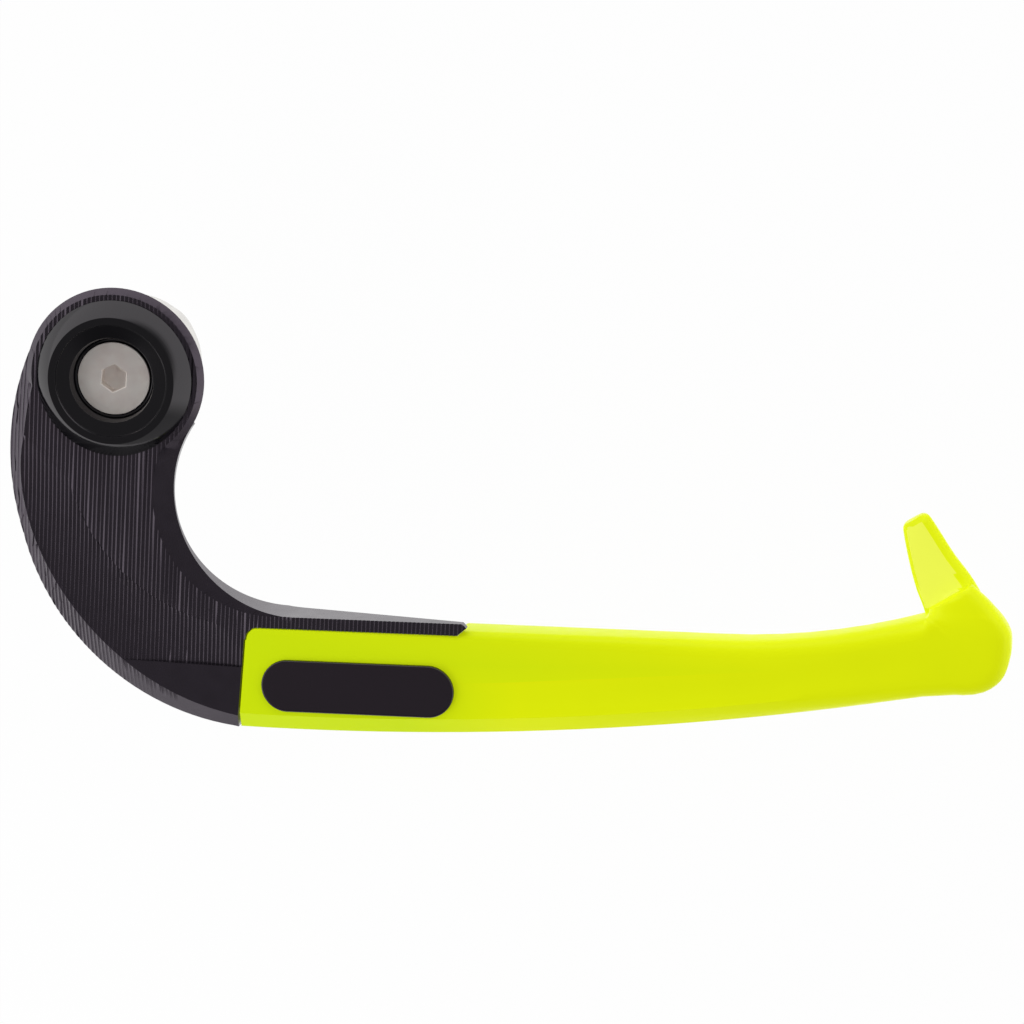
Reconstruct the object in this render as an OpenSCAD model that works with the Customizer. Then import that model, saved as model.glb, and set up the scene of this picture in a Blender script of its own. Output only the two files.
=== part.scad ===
// Brake lever guard for the end of a motorcycle handlebar, in millimetres.
// The origin is on the clamp screw's axis, where the handlebar's end seats against the spacer.
// +Z points outwards along that axis, +X runs along the blade and +Y is up.

/* [Bracket] */
// Thickness of the bracket, from its back face to its crown
arm_t = 7.5; // [6.5:0.5:9]
// Radius of the round boss
boss_r = 14.8; // [14.2:0.2:16]
// Front bevel round the boss, as wide as it is deep
boss_bevel = 1; // [0.6:0.1:1.4]
// How far the boss draws in towards its back face
boss_draw = 2.2; // [1:0.2:2.6]
// Radius of the arm's outer arc
arm_r = 45.1; // [43:0.5:48]
// Direction of the outer arc's centre from the boss
arm_dir = -27.3; // [-29:0.5:-25]
// How far the arm's lower left side swells past that arc
belly = 1; // [0.4:0.1:1.4]
// Width of the bevel along the outer arc
bevel_w = 2.7; // [2:0.1:3.4]
// Depth of that bevel
bevel_h = 2; // [1.2:0.1:2.8]
// Chamfer along the outer arc's back edge
back_chamfer = 0.8; // [0.4:0.1:1.4]
// Radius of the hook between the boss and the tongue
hook_r = 20.1; // [18.5:0.5:21.5]
// Direction of the hook's centre from the boss
hook_dir = -32.7; // [-34:0.5:-31]
// Width of the crescent facet at the hook's left side
facet_w = 3.2; // [2:0.2:4]
// Depth of the front crescent facet at the hook's edge
facet_front = 1.8; // [1.2:0.2:2.4]
// Depth of the back crescent facet at the hook's edge
facet_back = 5; // [3:0.2:5]

/* [Crown] */
// Radius of the crease across the crown
crease_r = 30.9; // [29:0.5:33]
// Depth of the hollow below the crease
hollow_h = 0.6; // [0.3:0.1:0.9]
// Width of that hollow
hollow_w = 16; // [12:0.5:18]
// Height of the smooth facet beside the blade
wedge_w = 7; // [5:0.5:8]
// How far that facet falls towards the bevel
wedge_drop = 0.2; // [0.1:0.1:0.7]

/* [Blade seat] */
// Distance from the boss axis to the joint between bracket and blade
joint_x = 21.2; // [19:0.2:22]
// How far the joint line leans over its height
joint_lean = 1.6; // [0:0.2:2.4]
// Height of the tongue over the blade
tongue_h = 2; // [1.6:0.1:2.6]
// Length of the tongue past the joint
tongue_l = 36.8; // [34:0.2:40]
// Thickness of the tongue at its tip
tongue_tip_t = 1.4; // [1:0.2:2.4]
// Corner radius of the seat under the tongue
seat_r = 2; // [1:0.2:2.6]
// Thickness of the ledge behind the blade
ledge_t = 2.5; // [2.2:0.1:3]
// How much shorter than the tongue that ledge is
ledge_short = 1.8; // [0.4:0.2:4]
// Gap between the blade and the bracket
blade_gap = 0.15; // [0.1:0.05:0.3]

/* [Blade] */
// Length of the blade from the joint to its far end
blade_l = 124.9; // [116:0.1:136]
// Height of the blade beside the joint
blade_h = 18.4; // [17:0.2:19.4]
// Depth of the blade from front to back
blade_d = 9; // [8:0.5:11]
// Radius of the shallow arc along the blade's lower edge
lower_r = 515; // [460:5:600]
// Radius of the rise of its upper edge towards the far end
upper_r = 104; // [90:1:125]
// Length over which the upper edge rises
rise_l = 32.2; // [26:0.5:36]
// Width of the bevel along the lower front edge
lower_edge = 2.8; // [2:0.1:3.4]
// Depth of the shallow hollow above that bevel
hollow_dip = 0.3; // [0:0.05:0.4]
// How far the flap's tip stands above the blade's upper edge
flap_h = 13.8; // [10:0.2:16]
// How far the flap's tip leans back
flap_lean = 9; // [6:0.5:12]
// Thickness of the flap
flap_t = 3; // [2.4:0.2:3.8]

/* [Badge] */
// Length of the badge
badge_l = 32; // [26:0.5:34]
// Height of the badge
badge_h = 8.7; // [7:0.1:10]
// Distance from the joint to the badge
badge_x = 2.7; // [2.2:0.1:5]
// How far the badge stands out of the blade
badge_rise = 0.7; // [0.4:0.1:1]
// Depth of the pocket under the badge
badge_pocket = 0.3; // [0.2:0.1:0.4]

/* [Clamp] */
// Diameter of the clamp screw
screw_d = 6; // [5:0.5:6]
// Length of the clamp screw
screw_l = 35; // [33:1:40]
// Diameter of its head
head_d = 12; // [11:0.2:12.4]
// Depth of the dish washer's outer chamfer
dish_h = 2.4; // [1.8:0.1:2.8]
// Diameter of the dish washer
dish_d = 25.2; // [24:0.2:26]
// Clearance round a screw in its hole
bolt_gap = 0.25; // [0.15:0.05:0.4]
// Diameter of the handlebar and of the spacer
bar_d = 22; // [20:0.2:23]
// Length of the spacer
spacer_l = 10; // [6:1:14]
// Outside diameter of the expander sleeve
sleeve_d = 16; // [15:0.2:17]
// Length of the expander sleeve
sleeve_l = 11; // [10:0.5:13]
// Width of a slit in the sleeve
slit_w = 1.2; // [0.8:0.2:1.6]

/* [Hidden] */
$fn = 96;
eps = 0.01;
far = 80;

// Bracket: the arcs touch the boss, so their centres follow from the radii
arm_c = (arm_r - boss_r) * [cos(arm_dir), sin(arm_dir)];
hook_c = (hook_r + boss_r) * [cos(hook_dir), sin(hook_dir)];
belly_dir = 228;
belly_shift = 6;
facet_r = hook_r - 0.5;
facet_c = hook_c - (hook_r - facet_r) * [1, 1] - [facet_w, 0];
tongue_y = hook_c.y - hook_r;
seat_y = tongue_y - tongue_h;
tip_x = joint_x + tongue_l;
tip_slant = 1.6;
tip_cut = 0.7;
ledge_l = tongue_l - ledge_short;
lower_y = seat_y - blade_h + 1;
joint_low = [joint_x - joint_lean, lower_y];

// Crown
crease_c = arm_c + [-4.7, 3.8];
crease_mid = 226;
crease_half = 33;
hollow_r = hollow_w * hollow_w / 8 / hollow_h;
wedge_y = lower_y + bevel_w + wedge_w + 0.9;
wedge_turn = 1.7;

// Blade screws: countersunk M3 from behind, into inserts in the blade
fix_d = 3;
fix_head_d = 5.5;
fix_rim = 0.2;
fix_gap = 0.15;
fix_l = 6;
fix_key = 2;
insert_d = 4.4;
insert_l = 3.6;
fix_y = (seat_y + lower_y) / 2 + 0.6;
fix_x = [joint_x + ledge_l / 4, joint_x + ledge_l * 3 / 4];

// Clamp
head_z = arm_t + 0.1;
head_k = (head_d - screw_d) / 2;
head_rim = 0.3;
head_edge = 0.1;
rim_z = arm_t + dish_h;
rim_r = dish_d / 2 - dish_h;
rim_flat = 0.7;
rim_step = 0.35;
seat_gap = 0.15;
spigot_r = head_d / 2 + 2.6;
spigot_l = 3.9;
spigot_gap = 0.1;
socket_af = 4;
socket_h = 2.5;
bore_r = screw_d / 2 + bolt_gap;
cone_h = 6;
cone_r = sleeve_d / 2 - 1.2;
cone_tip_r = screw_d / 2 + 2.2;
cone_seat = 3.5;
cone_gap = 0.1;
nut_collar = 3;
sleeve_gap = 0.3;
slit_share = 0.42;
thread_gap = 0.05;

// Badge
badge_y = (seat_y + lower_y) / 2 - 0.9;

// Blade: its hollow starts past the badge, and its turned end is laid out from the corner below the flap
blade_front = arm_t;
badge_k = (badge_x + badge_l) / blade_l - 0.03;
blade_back = blade_front - blade_d;
top_drop = 1.45;
low_drop = 0.1;
low_start = 10;
top_round = [0.8, 3];
back_round = 2.5;
face_fall = 0.5;
turn_x = joint_x + blade_l - 13.9;
turn = [turn_x, blade_top(turn_x)];
turn_core = 0.6;
turn_round = [2, lower_edge, 2.2];
flap_round = [1, 2, 1];
flap_sink = 5;
flap_thin = 0.2;
edge_n = 5;
span_n = 24;
row_n = 3;
dip_n = 4;
dip_w = 6;

// Upper edge of the blade at a distance x from the boss axis
function blade_top(x) = let (start = turn_x - rise_l)
    tongue_y - top_drop + (x > start ? pow(x - start, 2) / 2 / upper_r : 0);
// Lower edge of the blade at a distance x from the boss axis
function blade_low(x) = lower_y - low_drop + pow(x - joint_x - low_start, 2) / 2 / lower_r;

// A quarter ellipse from angle a0 on, pulled towards its chord by the share flat
function corner(s0, z0, rs, rz, a0, flat = 0) =
    [for (i = [0 : edge_n]) let (t = a0 - 90 * i / edge_n,
        pull = 1 - flat + flat / (abs(cos(t)) + abs(sin(t))))
        [s0 + rs * pull * cos(t), z0 + rz * pull * sin(t)]];

// One section of a moulded bar, from point a to point b in plan and from back to front in height.
// r holds the sizes of its corners: the front ones at a and b, and the back ones.
// The front corner at b is a bevel by the share flat, with a hollow of depth dip above it.
function section(a, b, front, back, r, flat = 0, dip = 0) =
    let (w = norm(b - a), u = (b - a) / w, d = front - back,
        ra = min(r[0], w * 0.45), rb = min(r[1], w * 0.45), rc = min(r[2], w * 0.45),
        za = min(r[0], d * 0.45), zb = min(r[1] * 0.8, d * 0.45), zc = min(r[2], d * 0.45),
        long = min(dip_w, w * 0.4),
        plan = concat(corner(ra, front - za, ra, za, 180),
            [for (i = [0 : dip_n - 1]) [w - rb - long * (1 - i / dip_n), front - dip * sin(180 * i / dip_n)]],
            corner(w - rb, front - zb, rb, zb, 90, flat),
            corner(w - rc, back + zc, rc, zc, 0), corner(rc, back + zc, rc, zc, -90)))
    [for (p = plan) [a.x + u.x * p[0], a.y + u.y * p[0], p[1]]];

// A table's rows with smooth steps between them
function through(rows) = concat(
    [for (k = [0 : len(rows) - 2]) for (i = [0 : row_n - 1]) let (t = i / row_n,
        a = rows[max(k - 1, 0)], b = rows[k], c = rows[k + 1], d = rows[min(k + 2, len(rows) - 1)])
        b + (c - a) * t / 2 + (2 * a - 5 * b + 4 * c - d) * t * t / 2 + (3 * (b - c) + d - a) * t * t * t / 2],
    [rows[len(rows) - 1]]);

// Solid through a row of sections with the same number of points
module loft(rows) {
    n = len(rows[0]);
    m = len(rows);
    polyhedron(
        points = [for (row = rows) for (p = row) p],
        faces = concat(
            [[for (i = [0 : n - 1]) i]],
            [for (k = [0 : m - 2]) for (i = [0 : n - 1]) let (j = (i + 1) % n)
                [k * n + j, k * n + i, (k + 1) * n + i]],
            [for (k = [0 : m - 2]) for (i = [0 : n - 1]) let (j = (i + 1) % n)
                [k * n + j, (k + 1) * n + i, (k + 1) * n + j]],
            [[for (i = [0 : n - 1]) m * n - 1 - i]]));
}

// Every piece is laid out from the back face of the boss, and stands on the spacer
module on_spacer() {
    translate([0, 0, spacer_l]) children();
}

// Plan of the arm, without the boss and the tongue
module arm_plan() {
    difference() {
        intersection() {
            translate(arm_c) {
                circle(arm_r, $fn = 180);
                rotate(belly_dir) translate([belly_shift, 0])
                    circle(arm_r + belly - belly_shift, $fn = 180);
            }
            polygon([[0, 0], hook_c, [hook_c.x, seat_y], [joint_x, seat_y], joint_low,
                [joint_low.x - 1, -far], [-far, -far], far * [-cos(arm_dir), -sin(arm_dir)]]);
        }
        translate(hook_c) circle(hook_r);
    }
}

// Plan of the tongue, with a slanted tip
module tongue_plan() {
    polygon([[hook_c.x - eps, seat_y], [hook_c.x - eps, tongue_y], [tip_x - tip_cut, tongue_y],
        [tip_x, tongue_y - tip_cut], [tip_x - tip_slant, seat_y]]);
}

// Fillet between the joint line and the tongue
module seat_corner() {
    difference() {
        translate([joint_x - 0.3, seat_y - seat_r]) square([seat_r + 0.3, seat_r + eps]);
        translate([joint_x + seat_r, seat_y - seat_r]) circle(seat_r);
    }
}

// Plan of the ledge behind the blade
module ledge_plan() {
    end_x = joint_x + ledge_l;
    inset = 1.6;
    round_r = 3;
    difference() {
        translate([joint_low.x - 2, lower_y + inset + 0.6])
            square([end_x - joint_low.x + 2, seat_y - lower_y - inset - 1.2]);
        translate([end_x - round_r, lower_y + inset + 0.6 + round_r]) rotate(-90) outer_corner(round_r);
        translate([end_x - round_r, seat_y - 0.6 - round_r]) outer_corner(round_r);
    }
}

// What a corner loses when it is rounded to radius r
module outer_corner(r) {
    difference() {
        square(r + 1);
        circle(r);
    }
}

// Bevel along the arm's outer arc, front and back
module outer_bevels() {
    over = 2;
    translate(arm_c) rotate_extrude($fn = 180) {
        polygon([[arm_r - bevel_w, arm_t], [arm_r + over, arm_t - bevel_h * (1 + over / bevel_w)],
            [arm_r + over, arm_t + 1], [arm_r - bevel_w, arm_t + 1]]);
        polygon([[arm_r - back_chamfer - 1, -1], [arm_r + over, back_chamfer + over], [arm_r + over, -1]]);
    }
}

// Crescent facets inside the hook, front and back
module crescent_facets() {
    over = 0.4;
    translate(facet_c) rotate_extrude() {
        polygon([[0, arm_t + over], [facet_r + facet_w / facet_front * over, arm_t + over],
            [facet_r - facet_w * 1.3, arm_t - facet_front * 1.3], [0, arm_t - facet_front * 1.3]]);
        polygon([[0, -over], [facet_r + facet_w / facet_back * over, -over],
            [facet_r - facet_w * 1.05, facet_back * 1.05], [0, facet_back * 1.05]]);
    }
}

// Shallow hollow that ends in the crease and fades out at both ends of it
module crown_hollow() {
    chord = crease_r * cos(crease_half);
    difference() {
        translate(crease_c) rotate(crease_mid)
            translate([chord + hollow_w / 2, 0, arm_t + hollow_r - hollow_h])
                rotate([90, 0, 0]) cylinder(h = far, r = hollow_r, center = true, $fn = 180);
        translate([crease_c.x, crease_c.y, -1]) cylinder(h = arm_t + 2, r = crease_r);
        at_wedge() translate([-far, -far, -1]) cube([2 * far, far, arm_t + 2]);
    }
}

// Places things at the end of the wedge facet's upper edge, along that edge
module at_wedge() {
    translate([joint_x, wedge_y, 0]) rotate(-wedge_turn) children();
}

// Smooth wedge facet beside the blade
module wedge_facet() {
    at_wedge() translate([0, 0, arm_t]) rotate([atan(wedge_drop / wedge_w), 0, 0])
        translate([-far, -far, 0]) cube([far + 5, far, 5]);
}

// The arm thins out under the tongue, from the hook to the tip
module tongue_underside() {
    start_x = hook_c.x - 3;
    reach = 5;
    translate([0, tongue_y + reach, 0]) rotate([90, 0, 0])
        linear_extrude(reach + tongue_h + 0.3)
            polygon([[start_x, -eps], [tip_x + 2, -eps], [tip_x + 2, arm_t - tongue_tip_t],
                [tip_x, arm_t - tongue_tip_t]]);
}

module arm() {
    difference() {
        linear_extrude(arm_t) {
            arm_plan();
            tongue_plan();
            seat_corner();
        }
        outer_bevels();
        crescent_facets();
        crown_hollow();
        wedge_facet();
        tongue_underside();
    }
}

module boss() {
    rotate_extrude()
        polygon([[0, 0], [boss_r - boss_draw, 0], [boss_r, arm_t - boss_bevel],
            [boss_r - boss_bevel, arm_t], [0, arm_t]]);
}

module bracket() {
    on_spacer() color("#3a343f") difference() {
        union() {
            arm();
            boss();
            linear_extrude(ledge_t) ledge_plan();
        }
        translate([0, 0, -1]) cylinder(h = arm_t + 2, r = bore_r);
        translate([0, 0, arm_t - spigot_l - spigot_gap])
            cylinder(h = spigot_l + 1, r = spigot_r + spigot_gap);
        for (x = fix_x) translate([x, fix_y, 0]) {
            translate([0, 0, -1]) cylinder(h = ledge_t + 2, r = fix_d / 2 + fix_gap);
            countersink(fix_head_d / 2 + fix_rim + fix_gap, fix_d / 2 + fix_gap);
        }
    }
}

// Ninety degree countersink that opens towards -Z at the origin
module countersink(r_open, r_hole) {
    rotate_extrude()
        polygon([[0, -1], [r_open + 1, -1], [r_hole, r_open - r_hole], [0, r_open - r_hole]]);
}

// Turned washer: a wide chamfer, a flat rim with a step, and a conical dish for the screw's head
module dish_washer() {
    dish_r = head_d / 2 + 0.35;
    on_spacer() color("#1b1b20") rotate_extrude()
        polygon([[bore_r, arm_t - spigot_l], [spigot_r, arm_t - spigot_l], [spigot_r, arm_t],
            [dish_d / 2, arm_t], [dish_d / 2, arm_t + 0.2], [rim_r, rim_z], [rim_r - rim_flat, rim_z],
            [rim_r - rim_flat, rim_z - rim_step], [rim_r - rim_flat * 2, rim_z - rim_step],
            [dish_r, head_z - head_rim], [head_d / 2 + seat_gap, head_z - head_rim],
            [bore_r, head_z - head_rim - (head_d / 2 + seat_gap - bore_r)]]);
}

// Countersunk screw with a hexagon socket
module clamp_screw() {
    on_spacer() color("silver") difference() {
        rotate_extrude()
            polygon([[0, head_z], [head_d / 2 - head_edge, head_z], [head_d / 2, head_z - head_edge],
                [head_d / 2, head_z - head_rim], [screw_d / 2, head_z - head_rim - head_k],
                [screw_d / 2, head_z - screw_l + 0.8], [screw_d / 2 - 0.8, head_z - screw_l],
                [0, head_z - screw_l]]);
        translate([0, 0, head_z - socket_h]) rotate(25)
            cylinder(h = socket_h + 1, r = socket_af / sqrt(3), $fn = 6);
        translate([0, 0, head_z - socket_h - 0.6]) cylinder(h = 0.6 + eps, r1 = 0.2, r2 = socket_af / 2);
    }
}

// Spacer as thick as the handlebar, with a taper that enters the sleeve
module bar_end_spacer() {
    on_spacer() color("lightgray") rotate_extrude()
        polygon([[bore_r, 0], [bar_d / 2 - 0.5, 0], [bar_d / 2, -0.5], [bar_d / 2, -spacer_l + 0.5],
            [bar_d / 2 - 0.5, -spacer_l], [cone_r, -spacer_l], [cone_tip_r, -spacer_l - cone_h],
            [bore_r, -spacer_l - cone_h]]);
}

// Sleeve with a taper seat and three slits at each end
module expander_sleeve() {
    top_z = -spacer_l - sleeve_gap;
    low_z = top_z - sleeve_l;
    slope = (cone_r - cone_tip_r) / cone_h;
    wide = cone_r + cone_gap;
    narrow = wide - slope * cone_seat;
    on_spacer() color("gainsboro") difference() {
        rotate_extrude()
            polygon([[wide, top_z], [sleeve_d / 2, top_z], [sleeve_d / 2, low_z], [wide, low_z],
                [narrow, low_z + cone_seat], [narrow, top_z - cone_seat]]);
        for (i = [0 : 5]) rotate(i * 60)
            translate([0, -slit_w / 2, i % 2 == 0 ? low_z - 1 : top_z - sleeve_l * slit_share])
                cube([sleeve_d, slit_w, sleeve_l * slit_share + 1]);
    }
}

// Taper nut that the clamp screw draws into the sleeve
module cone_nut() {
    seat_z = -spacer_l - sleeve_gap - sleeve_l - cone_gap;
    hole_r = screw_d / 2 + thread_gap;
    low_z = seat_z - nut_collar;
    on_spacer() color("silver") rotate_extrude()
        polygon([[hole_r, seat_z + cone_seat], [cone_nut_r(cone_seat), seat_z + cone_seat],
            [cone_nut_r(0), seat_z], [cone_nut_r(0), low_z], [hole_r, low_z]]);
}
function cone_nut_r(z) = cone_r - (cone_r - cone_tip_r) / cone_h * z;

// Sections of the blade: straight along the joint line's side, then round the turned end
function blade_rows() = concat(
    [for (i = [0 : span_n]) let (
        x0 = joint_low.x + blade_gap,
        x = x0 + (turn.x - x0) * i / span_n,
        k = i / span_n)
        section([x, blade_top(x)], [x, blade_low(x)], blade_front - face_fall * k, blade_back + face_fall * k,
            [top_round[0] + (top_round[1] - top_round[0]) * k, lower_edge, back_round], 1 - pow(k, 4),
            hollow_dip * pow(sin(180 * max(0, k - badge_k) / (1 - badge_k)), 2))],
    [for (row = through(turn_rows)) let (t = row[0], front = blade_front - face_fall - row[2])
        section(turn + turn_core * [cos(t), sin(t) + 1], turn + row[1] * [cos(t), sin(t)],
            front, front - row[3] * (blade_d - 2 * face_fall), turn_round)]);
// Direction, reach from the turn, fall of the front face and share of the depth
turn_rows = [[-67, 13.7, 0, 1], [-51, 15.5, 0.1, 0.98], [-39, 16, 0.2, 0.95], [-29, 15.5, 0.4, 0.9],
    [-17, 14.6, 0.6, 0.85], [-9, 13.9, 0.8, 0.8], [0.5, 12.4, 1.1, 0.75], [9, 11.1, 1.4, 0.7],
    [24, 9.6, 1.9, 0.6], [34, 9, 2.3, 0.55]];

// Sections of the flap, from inside the turned end to its tip
function flap_rows() = [for (row = through(flap_table)) let (
        rise = row[0],
        a = turn + [row[1], flap_h * rise],
        b = turn + [row[2], flap_h * (rise + row[3])],
        front = blade_front - flap_sink - flap_lean * max(rise, 0))
    section(a, b, front, front - flap_t * (1 - flap_thin * max(rise, 0)), flap_round)];
// Share of the height, left edge, right edge and rise of the right edge
flap_table = [[-0.25, 1, 10.2, 0.22], [0.05, -0.5, 9, 0.14], [0.22, -1.7, 6.8, 0.2], [0.42, -2.8, 4.2, 0.2],
    [0.62, -3.7, 2, 0.2], [0.8, -4.4, 0, 0.2], [0.88, -4.6, -0.8, 0.16], [0.92, -4.3, -1.5, 0.12]];

module badge_plan(grow) {
    r = badge_h / 2;
    translate([joint_x + badge_x + r, badge_y]) {
        circle(r + grow);
        translate([badge_l - 2 * r, 0]) circle(r + grow);
        translate([0, -r - grow]) square([badge_l - 2 * r, 2 * (r + grow)]);
    }
}

module guard_blade() {
    on_spacer() color("#d8e40c") difference() {
        union() {
            loft(blade_rows());
            loft(flap_rows());
        }
        translate([0, 0, blade_back - 1]) linear_extrude(blade_d + 3) offset(r = blade_gap) {
            arm_plan();
            tongue_plan();
            seat_corner();
        }
        translate([0, 0, blade_back - 1]) linear_extrude(ledge_t + blade_gap - blade_back + 1)
            offset(r = 1.2) ledge_plan();
        translate([0, 0, blade_front - badge_pocket]) linear_extrude(2) badge_plan(0.05);
        for (x = fix_x) translate([x, fix_y, 0])
            cylinder(h = ledge_t + blade_gap + insert_l + 0.05, r = insert_d / 2 + 0.02);
    }
}

// Domed label
module badge() {
    dome = 0.45;
    r = badge_h / 2;
    low_z = blade_front - badge_pocket;
    on_spacer() color("#16161a") hull() for (x = [0, badge_l - 2 * r])
        translate([joint_x + badge_x + r + x, badge_y, low_z]) {
            cylinder(h = badge_pocket + badge_rise - dome, r = r, $fn = 48);
            translate([0, 0, badge_pocket + badge_rise - dome]) cylinder(h = dome, r1 = r, r2 = r - 1.2, $fn = 48);
        }
}

module blade_screw(i) {
    on_spacer() color("silver") translate([fix_x[i], fix_y, 0]) difference() {
        rotate_extrude()
            polygon([[0, 0], [fix_head_d / 2, 0], [fix_head_d / 2, fix_rim],
                [fix_d / 2, fix_rim + (fix_head_d - fix_d) / 2], [fix_d / 2, fix_l - 0.4],
                [fix_d / 2 - 0.4, fix_l], [0, fix_l]]);
        translate([0, 0, -1]) cylinder(h = 2.2, r = fix_key / sqrt(3), $fn = 6);
    }
}

module blade_insert(i) {
    on_spacer() color("goldenrod") translate([fix_x[i], fix_y, ledge_t + blade_gap]) difference() {
        cylinder(h = insert_l, r = insert_d / 2);
        translate([0, 0, -1]) cylinder(h = insert_l + 2, r = fix_d / 2 + thread_gap);
    }
}

module blade_screw_1() blade_screw(0);
module blade_screw_2() blade_screw(1);
module blade_insert_1() blade_insert(0);
module blade_insert_2() blade_insert(1);

bracket();
dish_washer();
clamp_screw();
bar_end_spacer();
expander_sleeve();
cone_nut();
guard_blade();
badge();
blade_screw_1();
blade_screw_2();
blade_insert_1();
blade_insert_2();
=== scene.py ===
"""Looks of the brake lever guard.

It is a milled black bracket clamped to a handlebar's end, with a fluorescent yellow blade. Every
length in this file is in millimetres until a mesh is written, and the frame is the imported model's
own: the origin is where the handlebar's end seats, +Z points outwards along the clamp screw and +X
runs along the blade.
"""

import logging
import math
from dataclasses import dataclass
from enum import Enum
from typing import Sequence

import bmesh
import bpy
from mathutils import Matrix, Vector


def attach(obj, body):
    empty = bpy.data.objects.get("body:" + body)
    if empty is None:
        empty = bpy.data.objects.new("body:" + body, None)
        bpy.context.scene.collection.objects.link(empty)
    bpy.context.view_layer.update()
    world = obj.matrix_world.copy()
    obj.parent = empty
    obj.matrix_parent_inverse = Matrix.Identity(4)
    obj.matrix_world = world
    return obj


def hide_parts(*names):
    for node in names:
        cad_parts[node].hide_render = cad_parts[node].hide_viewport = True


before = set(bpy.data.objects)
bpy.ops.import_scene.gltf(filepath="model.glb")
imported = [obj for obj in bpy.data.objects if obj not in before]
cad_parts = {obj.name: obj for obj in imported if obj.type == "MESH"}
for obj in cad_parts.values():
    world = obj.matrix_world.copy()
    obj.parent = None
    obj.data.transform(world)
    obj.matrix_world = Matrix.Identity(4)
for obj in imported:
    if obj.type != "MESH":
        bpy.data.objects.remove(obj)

MM = 0.001
LOG = logging.getLogger("lever_guard")
# Attribute that carries painted shade (-1) and painted light (1) into a piece's colour.
PAINTED_SHADING = "painted_shading"
NODE_MERGE = 0.0005
FINE_MERGE = 0.0002
FLAT_DEGREES = 0.05

Colour = tuple[float, float, float]
Mesh = bmesh.types.BMesh
Piece = bpy.types.Object
Tree = bpy.types.NodeTree
Node = bpy.types.Node
Socket = bpy.types.NodeSocket


class Slot(Enum):
    """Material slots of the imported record."""

    BLACK = "black_anodised"
    GLOSS = "gloss_anodised"
    STEEL = "stainless"
    ALUMINIUM = "bare_aluminium"
    YELLOW = "fluo_yellow"
    BADGE = "badge_black"
    BRASS = "brass_insert"


class Grain(Enum):
    """How a finish is marked by the way it was made."""

    BLASTED = "blasted"
    TURNED = "turned"
    MOULDED = "moulded"


@dataclass(frozen=True)
class Marks:
    """How fine the procedural marks are, in cells or rings to a millimetre.

    Args:
        mottle: cells of the colour's mottle on metal.
        flow: cells of that mottle on a moulding.
        wear: cells of the roughness.
        blast: cells of a blasted surface.
        ripple: cells of a moulding's surface.
        lathe: rings of a turned surface.
        waver: how far those rings wander.
        band: the values that a noise keeps between in the main.
        wear_band: shares of the mean roughness at that band's ends.
        strength: strength of the relief.
    """

    mottle: float = 0.35
    flow: float = 0.06
    wear: float = 0.5
    blast: float = 9.0
    ripple: float = 0.25
    lathe: float = 0.9
    waver: float = 0.4
    band: tuple[float, float] = (0.3, 0.7)
    wear_band: tuple[float, float] = (0.9, 1.12)
    strength: float = 0.6


MARKS = Marks()


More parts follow.
